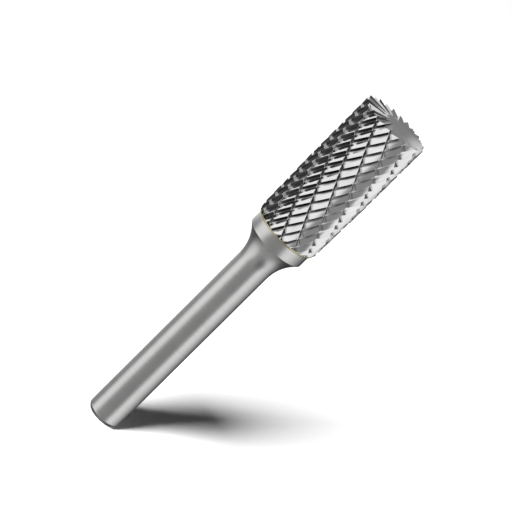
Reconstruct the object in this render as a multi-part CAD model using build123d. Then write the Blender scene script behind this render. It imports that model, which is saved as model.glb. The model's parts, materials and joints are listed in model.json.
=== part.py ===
from build123d import *
from math import cos, pi, radians, sin, sqrt
import os

# A carbide burr: a cylindrical cutting head with double-cut sides and an end
# cut, brazed to a turned steel shank. Millimetres. The end of the shank stands
# on z = 0 and the axis is +Z, so the cutting end is up.

# Shank
SHANK_DIAMETER = 6.0
SHANK_LENGTH = 42.85        # from the end of the shank to the face the head is brazed to
SHANK_CHAMFER = 0.7
COLLAR_DIAMETER = 10.45
COLLAR_LENGTH = 2.1         # straight part of the collar, behind the brazed face
FLARE_RADIUS = 7.4          # hollow curve from the shank out to the collar

# Braze
BRAZE_THICKNESS = 0.15
BRAZE_BEAD = 0.08           # how far the bead stands out past the collar

# Head
HEAD_DIAMETER = 12.0        # over the cutting edges
HEAD_LENGTH = 25.0
BACK_BEVEL = 0.55           # radial size of the bevel at the back edge
BACK_BEVEL_LENGTH = 1.2

# Main flutes, right-hand
MAIN_FLUTES = 24
MAIN_DEPTH = 0.55
MAIN_LEAD = 61.2            # length of one whole turn
MAIN_START = 6.7            # angle of one cutting edge at the back of the head
RAKE_ANGLE = 2.0            # angle about the axis that the front of a tooth takes

# Cross cut, left-hand
CROSS_FLUTES = 12
CROSS_DEPTH = 0.6
CROSS_WIDTH = 0.75          # width at the head's full diameter
CROSS_LEAD = 74.3
CROSS_START = 4.6
CROSS_STEEP_SHARE = 0.1     # share of the width under the steep side

# End cut
END_DEPTH = 0.5             # at the rim
END_CENTRE_DIAMETER = 3.0   # plain middle that the end flutes run out to

# Room that the cutting shapes reach past the head
OVERCUT = 0.5

collar_radius = COLLAR_DIAMETER / 2
shank_radius = SHANK_DIAMETER / 2
head_radius = HEAD_DIAMETER / 2
head_back = SHANK_LENGTH + BRAZE_THICKNESS
head_front = head_back + HEAD_LENGTH


def polar(radius, angle):
    return radius * cos(radians(angle)), radius * sin(radians(angle))


def turned(*points):
    """A solid turned about the axis from (radius, height) points."""
    outline = Wire.make_polygon([Vector(r, 0, z) for r, z in points], close=True)
    return revolve(Face(outline), Axis.Z)


def shank():
    """Steel shank with its chamfer, hollow flare and collar, as one turned piece."""
    step = collar_radius - shank_radius
    flare_length = sqrt(2 * FLARE_RADIUS * step - step**2)
    collar_start = SHANK_LENGTH - COLLAR_LENGTH
    flare_start = collar_start - flare_length
    with BuildPart() as piece:
        with BuildSketch(Plane.XZ):
            with BuildLine():
                Polyline((0, 0), (shank_radius - SHANK_CHAMFER, 0),
                         (shank_radius, SHANK_CHAMFER), (shank_radius, flare_start))
                TangentArc((shank_radius, flare_start), (collar_radius, collar_start),
                           tangent=(0, 1))
                Polyline((collar_radius, collar_start), (collar_radius, SHANK_LENGTH),
                         (0, SHANK_LENGTH), (0, 0))
            make_face()
        revolve(axis=Axis.Z)
    return piece.part


def braze_seam():
    """Thin layer of silver braze between the collar and the head, with its bead."""
    return turned((0, SHANK_LENGTH), (collar_radius, SHANK_LENGTH),
                  (collar_radius + BRAZE_BEAD, (SHANK_LENGTH + head_back) / 2),
                  (collar_radius, head_back), (0, head_back))


def twisted(points, lead):
    """A prism, longer than the head at both ends, whose section turns once in each lead.

    The points give its section at the back of the head.
    """
    start, length = head_back - OVERCUT, HEAD_LENGTH + 2 * OVERCUT
    outline = Wire.make_polygon([Vector(x, y, start) for x, y in points], close=True)
    outline = outline.rotate(Axis.Z, -360 * OVERCUT / lead)
    return Solid.extrude_linear_with_rotation(
        outline, (0, 0, start), (0, 0, length), 360 * length / lead)


def main_flutes():
    """Round bar of sawtooth section: steep rake faces and long backs."""
    pitch = 360 / MAIN_FLUTES
    points = []
    for i in range(MAIN_FLUTES):
        edge = MAIN_START + i * pitch
        points += [polar(head_radius, edge), polar(head_radius - MAIN_DEPTH, edge + RAKE_ANGLE)]
    return twisted(points, MAIN_LEAD)


def cross_cut():
    """Bar with narrow notches, one side steep, that break the teeth up."""
    outer = head_radius + OVERCUT
    half = 180 * CROSS_WIDTH / (2 * pi * head_radius)
    spread = half * (CROSS_DEPTH + OVERCUT) / CROSS_DEPTH
    points = []
    for i in range(CROSS_FLUTES):
        middle = CROSS_START + i * 360 / CROSS_FLUTES
        bottom = middle + (2 * CROSS_STEEP_SHARE - 1) * spread
        points += [polar(outer, middle - spread), polar(head_radius - CROSS_DEPTH, bottom),
                   polar(outer, middle + spread)]
    return twisted(points, -CROSS_LEAD)


def head_blank():
    """Plain outside of the head, bevelled at the back; the flutes set its diameter."""
    slope = BACK_BEVEL_LENGTH / BACK_BEVEL
    return turned((0, head_back), (head_radius - BACK_BEVEL, head_back),
                  (head_radius + OVERCUT, head_back + slope * (BACK_BEVEL + OVERCUT)),
                  (head_radius + OVERCUT, head_front), (0, head_front))


def end_flute(edge):
    """One wedge that cuts an end tooth's rake face and back, deepest at the rim."""
    rim, middle = head_radius + OVERCUT, END_CENTRE_DIAMETER / 2
    depth = END_DEPTH * (rim - middle) / (head_radius - middle)
    bottom = Vector(*polar(rim, edge + RAKE_ANGLE), head_front - depth)
    top = [Vector(*polar(rim, edge), head_front),
           Vector(*polar(rim, edge + 360 / MAIN_FLUTES), head_front),
           Vector(*polar(middle, edge + RAKE_ANGLE), head_front)]
    top = [bottom + (corner - bottom) * (1 + OVERCUT / depth) for corner in top]
    sides = [(top[0], top[1], top[2]), (top[0], top[1], bottom),
             (top[1], top[2], bottom), (top[2], top[0], bottom)]
    return Solid(Shell([Face(Wire.make_polygon(side, close=True)) for side in sides]))


def cutting_head():
    """Carbide head with its main flutes, cross cut and end cut."""
    head = head_blank()
    edge = MAIN_START + 360 * HEAD_LENGTH / MAIN_LEAD
    for i in range(MAIN_FLUTES):
        head = head.cut(end_flute(edge + i * 360 / MAIN_FLUTES))
    return head & main_flutes() & cross_cut()


def main():
    os.makedirs("parts", exist_ok=True)
    pieces = {"shank": shank(), "braze_seam": braze_seam(), "cutting_head": cutting_head()}
    for name, piece in pieces.items():
        piece.label = name
        export_step(piece, f"parts/{name}.step")


if __name__ == "__main__":
    main()
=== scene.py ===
import json
import math

import bmesh
import bpy
from bpy.props import FloatProperty, FloatVectorProperty, IntProperty, PointerProperty
from mathutils import Matrix, Vector


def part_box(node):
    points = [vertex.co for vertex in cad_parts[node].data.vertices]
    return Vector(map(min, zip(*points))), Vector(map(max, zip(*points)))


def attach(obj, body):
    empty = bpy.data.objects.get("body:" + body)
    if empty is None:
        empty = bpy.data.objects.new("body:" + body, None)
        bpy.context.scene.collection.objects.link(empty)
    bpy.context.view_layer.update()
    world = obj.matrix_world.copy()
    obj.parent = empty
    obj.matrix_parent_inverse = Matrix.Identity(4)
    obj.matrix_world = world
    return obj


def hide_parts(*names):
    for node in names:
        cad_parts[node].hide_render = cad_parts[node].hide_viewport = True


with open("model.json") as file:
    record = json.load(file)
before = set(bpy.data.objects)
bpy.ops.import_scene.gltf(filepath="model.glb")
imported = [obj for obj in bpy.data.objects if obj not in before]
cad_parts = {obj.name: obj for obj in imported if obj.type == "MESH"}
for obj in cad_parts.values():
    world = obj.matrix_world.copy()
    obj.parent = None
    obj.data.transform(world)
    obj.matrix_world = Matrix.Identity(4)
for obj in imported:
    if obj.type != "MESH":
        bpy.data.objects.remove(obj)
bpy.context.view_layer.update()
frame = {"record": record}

bl_info = {
    "name": "Carbide Burr",
    "version": (1, 0, 0),
    "blender": (4, 5, 0),
    "location": "View3D > Sidebar > Burr",
    "description": "Makes a cylindrical double-cut carbide burr and its studio",
    "category": "Add Mesh",
}

MM = 0.001
SHANK_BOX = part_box("shank")
HEAD_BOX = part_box("cutting_head")
SHANK_PIN = next(m for m in frame["record"]["mounts"] if m["name"] == "shank")
WHOLE_TURN = 2 * math.pi

# How finely the pieces are divided
SHANK_POINTS = 128
SHANK_STEPS = 8             # along the straight shank
FLARE_STEPS = 24
BRAZE_POINTS = 240
BLANK_POINTS = 360
HEAD_ROWS = 72              # along the flutes and the cross cuts
FLUTE_POINTS = 18           # across one flute
CUT_POINTS = 24             # across one cross cut
END_POINTS = 8              # across one end tooth
END_RINGS = 12
OVERCUT = 0.5 * MM          # how far a solid reaches past the surface that cuts it
SHARP_ANGLE = math.radians(25)

# The inputs of the head's node tree
HEAD_INPUTS = {
    "NodeSocketFloat": (
        "Back", "Length", "Radius", "Flute Depth", "Flute Turn", "Flute Start", "Rake Share",
        "Gullet", "Cut Depth", "Cut Width", "Cut Turn", "Cut Start", "Steep Share", "Bevel",
        "Bevel Slope", "Taper", "Taper Length", "End Depth", "End Middle", "End Rake Share",
        "Overcut"),
    "NodeSocketInt": (
        "Flutes", "Cuts", "Flute Points", "Cut Points", "End Points", "End Rings",
        "Blank Points", "Rows"),
    "NodeSocketMaterial": ("Material",),
}

# The main view
VIEW_TILT = math.radians(16.35)
VIEW_ROLL = math.radians(45.2)
VIEW_AIM = Vector((-0.73, 0, 36.86)) * MM
VIEW_DISTANCE = 0.635
VIEW_LENS = 284.8

DULL_LEVEL = 0.04           # how much the surroundings light what isn't glossy


# ------------------------------------------------------------ sockets as values


class Value:
    """A socket of a node tree. Arithmetic on it adds Math nodes to the tree."""

    def __init__(self, tree, socket=None):
        self.tree = tree
        self.socket = socket

    def node(self, kind, settings=None, sockets=None, output=0):
        """Add a node, its settings first and then its sockets, and return one output."""
        made = self.tree.nodes.new(kind)
        for name, value in (settings or {}).items():
            setattr(made, name, value)
        for name, value in (sockets or {}).items():
            if isinstance(value, Value):
                self.tree.links.new(value.socket, made.inputs[name])
            else:
                made.inputs[name].default_value = value
        return Value(self.tree, made.outputs[output])

    def output(self, name):
        """Another output of the node that this value comes from."""
        return Value(self.tree, self.socket.node.outputs[name])

    def math(self, operation, *others):
        return self.node("ShaderNodeMath", {"operation": operation},
                         dict(enumerate((self,) + others)))

    def swapped(self, operation, other):
        """The reflected form: other comes first."""
        return self.node("ShaderNodeMath", {"operation": operation}, {0: other, 1: self})

    def __add__(self, other):
        return self.math("ADD", other)

    __radd__ = __add__

    def __sub__(self, other):
        return self.math("SUBTRACT", other)

    def __rsub__(self, other):
        return self.swapped("SUBTRACT", other)

    def __mul__(self, other):
        return self.math("MULTIPLY", other)

    __rmul__ = __mul__

    def __truediv__(self, other):
        return self.math("DIVIDE", other)

    def __rtruediv__(self, other):
        return self.swapped("DIVIDE", other)

    def __pow__(self, other):
        return self.math("POWER", other)

    def __rpow__(self, other):
        return self.swapped("POWER", other)

    def least(self, other):
        return self.math("MINIMUM", other)

    def most(self, other):
        return self.math("MAXIMUM", other)

    def clamped(self):
        return self.most(0.0).least(1.0)

    def rise(self, low, high):
        """Smooth step: 0 at low and 1 at high, which may be the smaller of the two."""
        return self.node("ShaderNodeMapRange", {"interpolation_type": "SMOOTHSTEP"},
                         {0: self, 1: low, 2: high, 3: 0.0, 4: 1.0})

    def parts(self):
        """The x, y and z of a vector."""
        x = self.node("ShaderNodeSeparateXYZ", None, {0: self})
        return x, x.output(1), x.output(2)

    def dot(self, axis):
        """How far a vector goes along a fixed axis."""
        return self.node("ShaderNodeVectorMath", {"operation": "DOT_PRODUCT"},
                         {0: self, 1: axis}, output="Value")

    def vector(self, x, y, z):
        return self.node("ShaderNodeCombineXYZ", None, {0: x, 1: y, 2: z})

    def blend(self, first, second):
        """The colour from first to second, with this value as the share of second."""
        return self.node("ShaderNodeMix", {"data_type": "RGBA"},
                         {0: self, 6: first, 7: second}, output=2)

    def into(self, socket):
        self.tree.links.new(self.socket, socket)


def noise(root, place, scale, detail=2.0):
    """Noise from 0 to 1 at a place."""
    return root.node("ShaderNodeTexNoise", None,
                     {"Vector": place, "Scale": scale, "Detail": detail, "Roughness": 0.5})


def new_metal(name):
    """An empty metal, its root value, its shader's sockets and its place on the piece."""
    material = bpy.data.materials.new(name)
    material.use_nodes = True
    sockets = material.node_tree.nodes["Principled BSDF"].inputs
    sockets["Metallic"].default_value = 1.0
    root = Value(material.node_tree)
    place = root.node("ShaderNodeTexCoord").output("Object")
    return material, root, sockets, place


def bump(root, height, sockets, distance, strength):
    """Feed the normal of a material with fine relief."""
    made = root.node("ShaderNodeBump", None,
                     {"Height": height, "Distance": distance, "Strength": strength})
    made.into(sockets["Normal"])


def shaded(colour, share=1.0):
    """A colour darkened to a share of itself, with its alpha."""
    return [share * part for part in colour] + [1.0]


def phase(angle, count):
    """Where an angle lies in its own tooth or cut, from 0 to 1."""
    return (angle * (count / WHOLE_TURN)).math("WRAP", 1.0, 0.0)


# ------------------------------------------------------------------- materials


def satin_steel(colour):
    """Turned steel, polished to a satin, with faint rings round the axis."""
    material, root, sockets, place = new_metal("satin_steel")
    x, y, z = place.parts()
    rings = noise(root, root.vector(x * 0.02, y * 0.02, z), scale=9000.0, detail=3.0)
    cloud = noise(root, place, scale=180.0)
    tone = (0.6 * rings + 0.4 * cloud).rise(0.35, 0.65)
    tone.blend(shaded(colour, 0.9), shaded(colour)).into(sockets["Base Color"])
    (0.27 + 0.05 * cloud + 0.03 * rings).into(sockets["Roughness"])
    bump(root, rings, sockets, distance=0.01 * MM, strength=0.12)
    return material


def ground_carbide(settings, back):
    """Ground carbide with fine wheel marks that run along the teeth, and painted shade in the
    cuts and the gullets.
    """
    material, root, sockets, place = new_metal("ground_carbide")
    x, y, z = place.parts()
    angle = y.math("ARCTAN2", x)
    height = z - back
    across = angle - settings.flute_start - height * (WHOLE_TURN / settings.flute_lead)
    arc = across * (settings.diameter / 2)
    marks = noise(root, root.vector(arc, z * 0.03, 0.0), scale=9000.0, detail=3.0)
    waves = noise(root, root.vector(arc, z * 0.2, 0.0), scale=1800.0, detail=1.0)
    cloud = noise(root, place, scale=400.0)
    tone = (0.5 * marks + 0.5 * cloud).rise(0.3, 0.7)
    metal = tone.blend(shaded(settings.colour, 0.85), shaded(settings.colour))

    # 0 at a cutting edge and at the bottom of a cut, and 1 at the next one
    bottom = settings.cut_start \
        - settings.cut_width * (0.5 - settings.steep_share) / (settings.diameter / 2)
    tooth = phase(across, settings.flutes)
    notch = phase(angle - bottom + height * (WHOLE_TURN / settings.cut_lead), settings.cuts)

    # the painted shade stays off the end teeth
    facing_up = root.node("ShaderNodeNewGeometry").output("True Normal").parts()[2]
    round_side = 1 - facing_up.rise(0.6, 0.8)

    # painted shade on a cut's slope, which widens towards the cutting edge
    slope = (1 - (notch - 0.17 * tooth).rise(0.03, 0.11)) * round_side
    metal = slope.blend(metal, shaded(settings.colour, 0.5))

    # painted shade in a gullet, from the foot of the tooth before it, but not in the cuts
    between = notch.rise(0.08, 0.2) * (1 - notch.rise(0.94, 0.97)) * round_side
    gullet = (1 - (tooth - 0.2 * notch.rise(0.1, 0.6)).rise(0.05, 0.4)) \
        * tooth.rise(-0.03, 0.02) * between
    metal = gullet.blend(metal, shaded(settings.colour, 0.08))

    metal.into(sockets["Base Color"])
    (0.09 + 0.08 * cloud + 0.04 * marks).into(sockets["Roughness"])
    bump(root, marks + 3.0 * waves, sockets, distance=0.01 * MM, strength=0.2)
    return material


def silver_braze(colour):
    """Silver braze, pale yellow and slightly lumpy where it froze."""
    material, root, sockets, place = new_metal("silver_braze")
    lumps = noise(root, place, scale=1500.0, detail=3.0)
    stain = noise(root, place, scale=500.0)
    stained = [0.7 * colour[0], 0.66 * colour[1], 0.6 * colour[2], 1.0]
    stain.rise(0.35, 0.6).blend(stained, shaded(colour)).into(sockets["Base Color"])
    (0.3 + 0.2 * lumps).into(sockets["Roughness"])
    bump(root, lumps, sockets, distance=0.03 * MM, strength=0.5)
    return material


# ---------------------------------------------------------------- turned pieces


def rounded(corners, steps=6):
    """A profile whose corners, each a point and a radius, are replaced by arcs."""
    points = []
    for i, (corner, radius) in enumerate(corners):
        corner = Vector(corner)
        if not radius:
            points.append(corner)
            continue
        before = (Vector(corners[i - 1][0]) - corner).normalized()
        after = (Vector(corners[i + 1][0]) - corner).normalized()
        half = before.angle(after) / 2
        reach = radius / math.tan(half)
        centre = corner + (before + after).normalized() * radius / math.sin(half)
        first, last = corner + before * reach - centre, corner + after * reach - centre
        turn = first.angle_signed(last)
        for step in range(steps + 1):
            angle = -turn * step / steps
            points.append(centre + Matrix.Rotation(angle, 2) @ first)
    return points


def turned(name, profile, count, wobble=None):
    """A closed mesh turned about the axis from (radius, height) points in metres."""
    mesh = bmesh.new()
    rings = []
    for row, (radius, height) in enumerate(profile):
        if radius < 0.0001 * MM:
            rings.append([mesh.verts.new((0, 0, height))] * count)
            continue
        ring = []
        for i in range(count):
            angle = WHOLE_TURN * i / count
            r, z = wobble(row, radius, height, angle) if wobble else (radius, height)
            ring.append(mesh.verts.new((r * math.cos(angle), r * math.sin(angle), z)))
        rings.append(ring)
    for low, high in zip(rings, rings[1:]):
        for i in range(count):
            j = (i + 1) % count
            # at a pole two corners are one point
            mesh.faces.new(dict.fromkeys((low[i], low[j], high[j], high[i])))
    bmesh.ops.recalc_face_normals(mesh, faces=mesh.faces)
    data = bpy.data.meshes.new(name)
    mesh.to_mesh(data)
    mesh.free()
    data.shade_smooth()
    piece = bpy.data.objects.new(name, data)
    bpy.context.scene.collection.objects.link(piece)
    return piece


def finished(piece, material, node):
    """Give a piece its material and put it in the place of its CAD node."""
    if not piece.data.materials:
        piece.data.materials.append(material)
    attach(piece, "root")
    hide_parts(node)


# ------------------------------------------------------------- the cutting head


class HeadSolids:
    """The four solids whose common part is the fluted head, as nodes of one tree."""

    def __init__(self, root, given):
        self.root, self.given = root, given
        self.back, self.length = given["Back"], given["Length"]
        self.radius, self.over = given["Radius"], given["Overcut"]
        self.x, self.y, self.z = root.node("GeometryNodeInputPosition").parts()
        self.angle = self.y.math("ARCTAN2", self.x)
        # a bar is 1 high about the origin: it is put over the head's length and a bit more
        self.height = self.back - self.over + (self.z + 0.5) * (self.length + 2 * self.over)
        below = (self.back + given["Taper Length"] - self.height).most(0.0)
        self.rim = self.radius - below * given["Taper"]

    def bar(self, points):
        """A round bar with so many points in each row."""
        return self.root.node("GeometryNodeMeshCylinder", {"fill_type": "NGON"},
                              {"Vertices": points, "Side Segments": self.given["Rows"],
                               "Radius": 1.0, "Depth": 1.0})

    def moved(self, solid, reach, angle, height):
        """A solid whose points are put at a reach and an angle about the axis."""
        place = self.root.vector(reach * angle.math("COSINE"), reach * angle.math("SINE"), height)
        return self.root.node("GeometryNodeSetPosition", None,
                              {"Geometry": solid, "Position": place})

    def tooth(self, crowding):
        """The number of each point's tooth and how far across it the point goes, from 0 to 1.

        The power crowds the points to the cutting edge.
        """
        tooth = self.angle / WHOLE_TURN * self.given["Flutes"]
        number = tooth.math("FLOOR")
        return number, (tooth - number) ** crowding

    def flute_angle(self, number, along, height):
        """The angle of a point of a tooth at a height above the head's back."""
        given = self.given
        return (number + along) * WHOLE_TURN / given["Flutes"] + given["Flute Start"] \
            + height * given["Flute Turn"]

    def teeth(self):
        """A sharp edge, a steep rake face, a round gullet and a long back."""
        given = self.given
        number, along = self.tooth(crowding=2.0)
        rake, gullet = given["Rake Share"], given["Gullet"]
        # behind the gullet's bottom the surface climbs as a parabola, then in a line
        bottom = 1.4 * rake
        past = (along - bottom) / (1 - bottom)
        climb = past - gullet / 2 + (gullet - past).most(0.0) ** 2.0 / (2 * gullet)
        # 0 at the cutting edge and near 1 in the gullet
        fall = (along / rake).math("SMOOTH_MIN", 1 - climb / (1 - gullet / 2), 1.0)
        return self.moved(self.bar(given["Flutes"] * given["Flute Points"]),
                          self.rim - given["Flute Depth"] * fall,
                          self.flute_angle(number, along, self.height - self.back), self.height)

    def notches(self):
        """The cross cut: narrow notches with one steep side and one hollow slope."""
        given = self.given
        notch = self.angle / WHOLE_TURN * given["Cuts"]
        number = notch.math("ROUND")
        steep = given["Cut Width"] * given["Steep Share"]
        flat = given["Cut Width"] - steep
        # the angle from a notch's bottom, where the points crowd
        side = notch - number
        off = side.math("ABSOLUTE") ** 2.0 * side.math("SIGN") * 2.0 * WHOLE_TURN / given["Cuts"]
        # 0 at the bottom and 1 at the surface, and steep past it
        away = off * self.radius / flat
        slope = 1 - (1 - away).most(0.0) ** 1.2 + (away - 1).most(0.0) * 4.0
        wall = -1.0 * off * self.radius / steep
        reach = self.rim - given["Cut Depth"] * (1 - slope.most(wall))
        angle = number * WHOLE_TURN / given["Cuts"] + off + given["Cut Start"] \
            - (self.height - self.back) * given["Cut Turn"] - (flat - steep) / (2 * self.radius)
        return self.moved(self.bar(given["Cuts"] * given["Cut Points"]),
                          reach.least(self.radius + self.over), angle, self.height)

    def blank(self):
        """One cone, which gives the bevel at the back and both end planes."""
        given = self.given
        low = self.radius - given["Bevel"]
        cone = self.root.node("GeometryNodeMeshCone", {"fill_type": "NGON"},
                              {"Vertices": given["Blank Points"], "Radius Bottom": low,
                               "Radius Top": low + self.length / given["Bevel Slope"],
                               "Depth": self.length})
        return self.root.node("GeometryNodeSetPosition", None,
                              {"Geometry": cone, "Offset": self.root.vector(0.0, 0.0, self.back)})

    def ends(self):
        """The end cut: one shallow tooth for each flute, deepest at the rim."""
        given = self.given
        cap = self.root.node("GeometryNodeMeshCylinder", {"fill_type": "TRIANGLE_FAN"},
                             {"Vertices": given["Flutes"] * given["End Points"],
                              "Side Segments": 1, "Fill Segments": given["End Rings"],
                              "Radius": self.radius + self.over, "Depth": 2 * self.length})
        number, along = self.tooth(crowding=1.6)
        rake = given["End Rake Share"]
        fall = (along / rake).least((1 - along) / (1 - rake))
        reach = (self.x * self.x + self.y * self.y).math("SQRT")
        middle = given["End Middle"]
        outward = ((reach - middle) / (self.radius - middle)).most(0.0)
        top = self.back + self.length - given["End Depth"] * outward * fall
        upper = self.z.math("GREATER_THAN", 0.0)
        return self.moved(cap, reach, self.flute_angle(number, along, self.length),
                          upper * top + (1 - upper) * (self.back - self.length))


def head_tree():
    """The node tree of the fluted head and the sockets of its inputs by name."""
    tree = bpy.data.node_groups.new("fluted_head", "GeometryNodeTree")
    inputs = {name: tree.interface.new_socket(name, in_out="INPUT", socket_type=kind)
              for kind, names in HEAD_INPUTS.items() for name in names}
    tree.interface.new_socket("Mesh", in_out="OUTPUT", socket_type="NodeSocketGeometry")
    root = Value(tree)
    group = root.node("NodeGroupInput")
    given = {name: group.output(name) for name in inputs}

    solids = HeadSolids(root, given)
    solid = solids.teeth()
    for other in (solids.notches(), solids.blank(), solids.ends()):
        common = root.node("GeometryNodeMeshBoolean",
                           {"operation": "INTERSECT", "solver": "MANIFOLD"})
        for part in (solid, other):
            part.into(common.socket.node.inputs["Mesh 2"])
        solid = common

    sharp = root.node("GeometryNodeInputMeshEdgeAngle").math("GREATER_THAN", SHARP_ANGLE)
    solid = root.node("GeometryNodeSetShadeSmooth", {"domain": "FACE"}, {0: solid, 2: True})
    solid = root.node("GeometryNodeSetShadeSmooth", {"domain": "EDGE"},
                      {0: solid, 1: sharp, 2: False})
    solid = root.node("GeometryNodeRealizeInstances", None, {0: solid})
    solid = root.node("GeometryNodeSetMaterial", None, {0: solid, 2: given["Material"]})
    solid.into(tree.nodes.new("NodeGroupOutput").inputs[0])
    return tree, inputs


# ------------------------------------------------------------------- properties


def length_property(name, description, millimetres):
    return FloatProperty(name=name, description=description, default=millimetres * MM,
                         min=0.0, precision=5, unit="LENGTH")


def angle_property(name, description, degrees):
    return FloatProperty(name=name, description=description, default=math.radians(degrees),
                         subtype="ANGLE", unit="ROTATION")


def share_property(name, description, share):
    return FloatProperty(name=name, description=description, default=share,
                         min=0.0, max=1.0, subtype="FACTOR")


def colour_property(name, description, colour):
    return FloatVectorProperty(name=name, description=description, default=colour,
                               size=3, min=0.0, max=1.0, subtype="COLOR")


class ShankSettings(bpy.types.PropertyGroup):
    chamfer: length_property("Chamfer", "Chamfer at the end of the shank", 0.7)
    collar_diameter: length_property("Collar Diameter", "Diameter behind the head", 10.45)
    collar_length: length_property("Collar Length", "Straight part of the collar", 2.1)
    flare_radius: length_property("Flare Radius", "Radius of the hollow flare", 7.4)
    softening: length_property("Softening", "Radius of the worn corners", 0.2)
    colour: colour_property("Colour", "Colour of the steel", (0.64, 0.635, 0.63))


class BrazeSettings(bpy.types.PropertyGroup):
    creep: length_property("Creep", "How far the braze creeps up the bevel of the head", 0.18)
    waviness: length_property("Waviness", "How uneven the edge of the braze is", 0.05)
    colour: colour_property("Colour", "Colour of the braze", (0.78, 0.72, 0.47))


class HeadSettings(bpy.types.PropertyGroup):
    diameter: length_property("Diameter", "Diameter over the cutting edges", 12.0)
    flutes: IntProperty(name="Flutes", description="Number of main flutes", default=24, min=3)
    flute_depth: length_property("Flute Depth", "Depth of the main flutes", 0.52)
    flute_lead: length_property("Flute Lead", "Length of a whole turn of a main flute", 61.2)
    flute_start: angle_property("Flute Start", "Angle of one cutting edge at the back", 6.7)
    rake_share: share_property("Rake Share", "Share of a tooth that its front takes", 0.14)
    gullet: share_property("Gullet", "Share of a tooth's back that is the hollow gullet", 0.38)
    cuts: IntProperty(name="Cross Cuts", description="Number of cross cuts", default=12, min=0)
    cut_depth: length_property("Cut Depth", "Depth of the cross cuts", 0.62)
    cut_width: length_property("Cut Width", "Width of a cross cut at the edge", 0.75)
    cut_lead: length_property("Cut Lead", "Length of a whole turn of a cross cut", 74.3)
    cut_start: angle_property("Cut Start", "Angle of one cross cut at the back", 4.6)
    steep_share: share_property("Steep Share", "Share of a cut under its steep side", 0.1)
    bevel: length_property("Bevel", "Radial size of the bevel at the back", 0.55)
    bevel_length: length_property("Bevel Length", "Length of the bevel at the back", 1.2)
    taper: share_property("Taper", "Slope of the slight taper at the back", 0.0192)
    taper_length: length_property("Taper Length", "Length of the taper at the back", 11.6)
    end_depth: length_property("End Depth", "Depth of the end teeth at the rim", 0.5)
    end_middle: length_property("End Middle", "Diameter of the plain middle of the end", 3.0)
    colour: colour_property("Colour", "Colour of the carbide", (0.78, 0.78, 0.78))


class StageSettings(bpy.types.PropertyGroup):
    floor_size: FloatProperty(name="Floor Size", description="Length of the floor's sides",
                              default=2.0, min=0.5, unit="LENGTH")
    key_power: FloatProperty(name="Key Power", description="Power of the key lamp",
                             default=130.0, min=0.0, unit="POWER")


# -------------------------------------------------------------------- operators


class BURR_OT_shank(bpy.types.Operator):
    """Add the turned steel shank with its flare and collar"""
    bl_idname = "burr.shank"
    bl_label = "Add Shank"

    def execute(self, context):
        settings = context.scene.burr_shank
        radius, top = SHANK_PIN["dims"]["r_mm"] * MM, SHANK_BOX[1].z
        collar, arc = settings.collar_diameter / 2, settings.flare_radius
        soft, chamfer = settings.softening, settings.chamfer
        step = collar - radius
        flare_start = top - settings.collar_length - math.sqrt(2 * arc * step - step ** 2)

        profile = [Vector((0, 0))]
        profile += rounded([((0, 0), 0), ((radius - chamfer, 0), soft),
                            ((radius, chamfer), 2 * soft), ((radius, flare_start), 0)])[1:-1]
        straight = chamfer * 2
        profile += [Vector((radius, straight + (flare_start - straight) * i / SHANK_STEPS))
                    for i in range(SHANK_STEPS)]
        sweep = math.acos(1 - step / arc) / FLARE_STEPS
        flare = [Vector((radius + arc * (1 - math.cos(sweep * i)),
                         flare_start + arc * math.sin(sweep * i)))
                 for i in range(FLARE_STEPS + 1)]
        profile += flare[:-2]
        profile += rounded([(flare[-3], 0), (flare[-1], soft), ((collar, top), 0.3 * soft),
                            ((0, top), 0)])[1:]

        piece = turned("shank", profile, SHANK_POINTS)
        finished(piece, satin_steel(settings.colour), "shank")
        return {"FINISHED"}


class BURR_OT_braze(bpy.types.Operator):
    """Add the uneven seam of braze between the collar and the head"""
    bl_idname = "burr.braze"
    bl_label = "Add Braze Seam"

    def execute(self, context):
        settings = context.scene.burr_braze
        collar = context.scene.burr_shank.collar_diameter / 2
        head = context.scene.burr_head
        low, high = SHANK_BOX[1].z, HEAD_BOX[0].z
        edge = HEAD_BOX[1].x - head.bevel
        slope = head.bevel / head.bevel_length
        creep, waviness = settings.creep, settings.waviness
        skin = 0.03 * MM

        # the bead: out and up from the collar's edge, in millimetres
        bead = ((-0.05, 0.0), (0.01, -0.03), (0.05, 0.02), (0.12, 0.09))
        profile = [(0, low)] + [(collar + out * MM, low + up * MM) for out, up in bead]
        # then up the head's bevel, and back in under the head
        profile += [(edge + skin, high), (edge + slope * creep + skin, high + creep * 0.8),
                    (edge + slope * creep, high + creep), (edge - 0.2 * MM, high + 0.02 * MM),
                    (0, high)]
        bead_rows, creep_rows = (2, 3, 4, 5), (6, 7)
        # each wave: how many go round, its height and its start
        waves = ((5, 1.0, 0.6), (11, 0.8, 2.1), (23, 0.6, 4.0), (47, 0.4, 0.0))
        total = sum(size for count, size, start in waves)

        def wobble(row, radius, height, angle):
            wave = waviness / total * sum(
                size * math.sin(count * angle + start) for count, size, start in waves)
            if row in creep_rows:
                return radius + slope * wave * 2, height + wave * 2
            if row in bead_rows:
                return radius + 0.4 * wave, height
            return radius, height

        piece = turned("braze_seam", profile, BRAZE_POINTS, wobble)
        finished(piece, silver_braze(settings.colour), "braze_seam")
        return {"FINISHED"}


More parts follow.
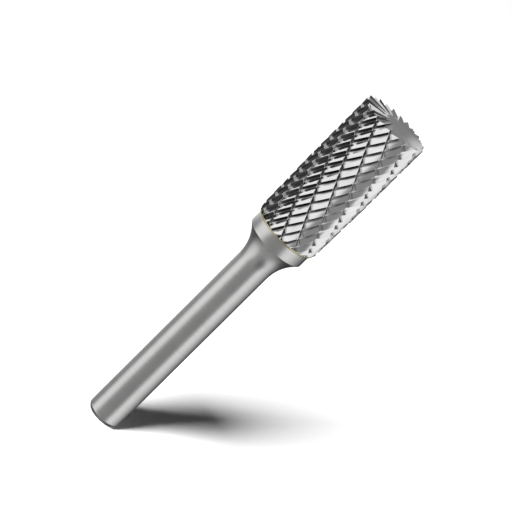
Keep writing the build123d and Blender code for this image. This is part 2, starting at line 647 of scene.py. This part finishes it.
class BURR_OT_head(bpy.types.Operator):
    """Add the fluted carbide head with its cross cut and end cut"""
    bl_idname = "burr.head"
    bl_label = "Add Cutting Head"

    def execute(self, context):
        settings = context.scene.burr_head
        low, high = HEAD_BOX
        carbide = ground_carbide(settings, low.z)
        values = {
            "Back": low.z, "Length": high.z - low.z, "Radius": settings.diameter / 2,
            "Flutes": settings.flutes, "Flute Depth": settings.flute_depth,
            "Flute Turn": WHOLE_TURN / settings.flute_lead,
            "Flute Start": settings.flute_start,
            "Rake Share": settings.rake_share, "Gullet": settings.gullet,
            "Cuts": settings.cuts, "Cut Depth": settings.cut_depth,
            "Cut Width": settings.cut_width, "Cut Turn": WHOLE_TURN / settings.cut_lead,
            "Cut Start": settings.cut_start, "Steep Share": settings.steep_share,
            "Bevel": settings.bevel, "Bevel Slope": settings.bevel_length / settings.bevel,
            "Taper": settings.taper, "Taper Length": settings.taper_length,
            "End Depth": settings.end_depth, "End Middle": settings.end_middle / 2,
            "End Rake Share": settings.rake_share, "Overcut": OVERCUT,
            "Flute Points": FLUTE_POINTS, "Cut Points": CUT_POINTS,
            "End Points": END_POINTS, "End Rings": END_RINGS,
            "Blank Points": BLANK_POINTS, "Rows": HEAD_ROWS, "Material": carbide,
        }
        tree, inputs = head_tree()
        holder = bpy.data.objects.new("head_holder", bpy.data.meshes.new("head_holder"))
        context.scene.collection.objects.link(holder)
        modifier = holder.modifiers.new("fluted_head", "NODES")
        modifier.node_group = tree
        for name, value in values.items():
            modifier[inputs[name].identifier] = value
        evaluated = holder.evaluated_get(context.evaluated_depsgraph_get())
        mesh = bpy.data.meshes.new_from_object(evaluated)
        bpy.data.objects.remove(holder)
        if len(mesh.polygons) < settings.flutes * HEAD_ROWS:
            raise RuntimeError("the head's node tree gave no solid")
        mesh.name = "cutting_head"
        piece = bpy.data.objects.new("cutting_head_fluted", mesh)
        context.scene.collection.objects.link(piece)
        finished(piece, carbide, "cutting_head")
        return {"FINISHED"}


# ------------------------------------------------------------------- the studio


def view_axes():
    """Right, up and back in the main view, as directions of the model."""
    side = Vector((1, 0, 0))
    rise = Vector((0, math.sin(VIEW_TILT), math.cos(VIEW_TILT)))
    back = Vector((0, -math.cos(VIEW_TILT), math.sin(VIEW_TILT)))
    roll = math.cos(VIEW_ROLL), math.sin(VIEW_ROLL)
    return roll[0] * side + roll[1] * rise, roll[0] * rise - roll[1] * side, back


def studio_level(side, rise, back):
    """How bright the studio is along a ray that goes so far right, up and back."""
    low = -1.0 * side - rise
    corner = low.rise(0.8, 1.1)

    # a dim wall on the viewer's side and in the lower left corner, with a darker patch there
    patch = corner * (side - rise).rise(0.02, 0.2) * back.rise(0.12, 0.3) * back.rise(0.75, 0.55)
    wall = (0.3 + 0.08 * corner) * (1 - 0.65 * patch) \
        * back.rise(-0.2, 0.4).most(corner * back.rise(-0.85, -0.35))

    # a bright sky, weaker behind the burr to the lower left and to the right
    sky = (rise - 0.15 * side).rise(0.08, 0.36) \
        * (1 - 0.8 * low.rise(-0.1, 0.2) * back.rise(0.1, -0.3)) \
        * (1 - 0.75 * side.rise(-0.05, 0.3) * back.rise(-0.2, -0.6))

    # two bright strips, far left and far below
    strips = side.rise(-0.78, -0.97).most(rise.rise(-0.82, -0.98) * back.rise(0.25, 0.05)) \
        * (0.9 + 0.5 * back).clamped()

    # a bright table to the lower right, weaker behind the burr and dark at its far side
    table = (0.8 * side - 0.65 * rise).rise(0.46, 0.68) * (0.78 + 0.85 * back).clamped() \
        * (1 - 0.8 * side.rise(0.6, 0.7) * back.rise(-0.05, -0.25))

    # a glow that fills what the others leave dark, weaker to the right and to the left
    glow = 0.02 + rise.rise(-0.15, 0.3) \
        * (0.5 - 0.27 * side.rise(-0.05, 0.3) - 0.28 * side.rise(-0.38, -0.56))
    return glow.most(wall).most(1.1 * sky.most(strips)).most(1.1 * table)


class BURR_OT_stage(bpy.types.Operator):
    """Add the floor, the surroundings, the key lamp and the camera"""
    bl_idname = "burr.stage"
    bl_label = "Add Studio"

    def execute(self, context):
        settings = context.scene.burr_stage
        self.add_floor(settings.floor_size)
        self.add_surroundings(context.scene)
        self.add_key(settings.key_power)
        self.add_camera()
        return {"FINISHED"}

    def add_floor(self, size):
        half = size / 2
        data = bpy.data.meshes.new("floor")
        data.from_pydata([(-half, -half, 0), (half, -half, 0), (half, half, 0), (-half, half, 0)],
                         [], [(0, 1, 2, 3)])
        floor = bpy.data.objects.new("floor", data)
        bpy.context.scene.collection.objects.link(floor)
        material = bpy.data.materials.new("white_floor")
        material.use_nodes = True
        tree = material.node_tree
        tree.nodes.clear()
        root = Value(tree)
        ray = root.node("ShaderNodeLightPath")
        white = ray.output("Is Glossy Ray").most(ray.output("Is Transmission Ray"))
        paper = root.node("ShaderNodeBsdfDiffuse", None, {"Color": (1, 1, 1, 1)})
        glow = root.node("ShaderNodeEmission", None, {"Color": (1, 1, 1, 1), "Strength": 1.0})
        surface = root.node("ShaderNodeMixShader", None, {0: white, 1: paper, 2: glow})
        end = tree.nodes.new("ShaderNodeOutputMaterial")
        surface.into(end.inputs["Surface"])
        data.materials.append(material)
        floor.visible_glossy = False

    def add_surroundings(self, scene):
        """White to the camera, a studio in reflections, and little light on what is dull."""
        scene.view_settings.view_transform = "Standard"
        world = bpy.data.worlds.new("studio")
        world.use_nodes = True
        world.cycles.sampling_method = "NONE"
        scene.world = world
        root = Value(world.node_tree)
        ray = root.node("ShaderNodeLightPath")
        way = root.node("ShaderNodeTexCoord").output("Generated")
        level = studio_level(*(way.dot(axis) for axis in view_axes()))
        shown = ray.output("Is Camera Ray").most(ray.output("Is Transmission Ray"))
        glossy = ray.output("Is Glossy Ray")
        strength = shown + (1 - shown) * (glossy * level + (1 - glossy) * DULL_LEVEL)
        background = world.node_tree.nodes["Background"]
        background.inputs["Color"].default_value = (1, 1, 1, 1)
        strength.into(background.inputs["Strength"])

    def add_key(self, power):
        """A tall narrow box of light whose shadow runs level across the main view."""
        azimuth, height, distance = math.radians(19.5), math.radians(44), 2.5
        way = Vector((-math.sin(azimuth) * math.cos(height),
                      -math.cos(azimuth) * math.cos(height), math.sin(height)))
        data = bpy.data.lights.new("key", "AREA")
        data.shape, data.size, data.size_y, data.energy = "RECTANGLE", 0.3, 1.7, power
        lamp = bpy.data.objects.new("key", data)
        lamp.location = way * distance
        lamp.rotation_euler = (-way).to_track_quat("-Z", "Y").to_euler()
        lamp.visible_camera = False
        lamp.visible_glossy = False
        bpy.context.scene.collection.objects.link(lamp)

    def add_camera(self):
        axes = view_axes()
        data = bpy.data.cameras.new("camera")
        data.sensor_width, data.lens = 36, VIEW_LENS
        data.clip_start, data.clip_end = 0.01, 10
        camera = bpy.data.objects.new("camera", data)
        place = Matrix.Translation(VIEW_AIM + axes[2] * VIEW_DISTANCE)
        camera.matrix_world = place @ Matrix(axes).transposed().to_4x4()
        bpy.context.scene.collection.objects.link(camera)
        bpy.context.scene.camera = camera


# ------------------------------------------------------------ panel and the run


class VIEW3D_PT_burr(bpy.types.Panel):
    """Buttons and settings of the burr"""
    bl_label = "Carbide Burr"
    bl_space_type = "VIEW_3D"
    bl_region_type = "UI"
    bl_category = "Burr"

    def draw(self, context):
        groups = (("burr.shank", "burr_shank"), ("burr.braze", "burr_braze"),
                  ("burr.head", "burr_head"), ("burr.stage", "burr_stage"))
        for operator, name in groups:
            box = self.layout.box()
            box.operator(operator)
            settings = getattr(context.scene, name)
            for setting in settings.__annotations__:
                box.prop(settings, setting)


SETTINGS = {"burr_shank": ShankSettings, "burr_braze": BrazeSettings,
            "burr_head": HeadSettings, "burr_stage": StageSettings}
CLASSES = (*SETTINGS.values(), BURR_OT_shank, BURR_OT_braze, BURR_OT_head, BURR_OT_stage,
           VIEW3D_PT_burr)


def register():
    for cls in CLASSES:
        bpy.utils.register_class(cls)
    for name, group in SETTINGS.items():
        setattr(bpy.types.Scene, name, PointerProperty(type=group))


def unregister():
    for name in SETTINGS:
        delattr(bpy.types.Scene, name)
    for cls in reversed(CLASSES):
        bpy.utils.unregister_class(cls)


def main():
    register()
    bpy.ops.burr.stage()
    bpy.ops.burr.shank()
    bpy.ops.burr.braze()
    bpy.ops.burr.head()


if __name__ == "__main__":
    main()
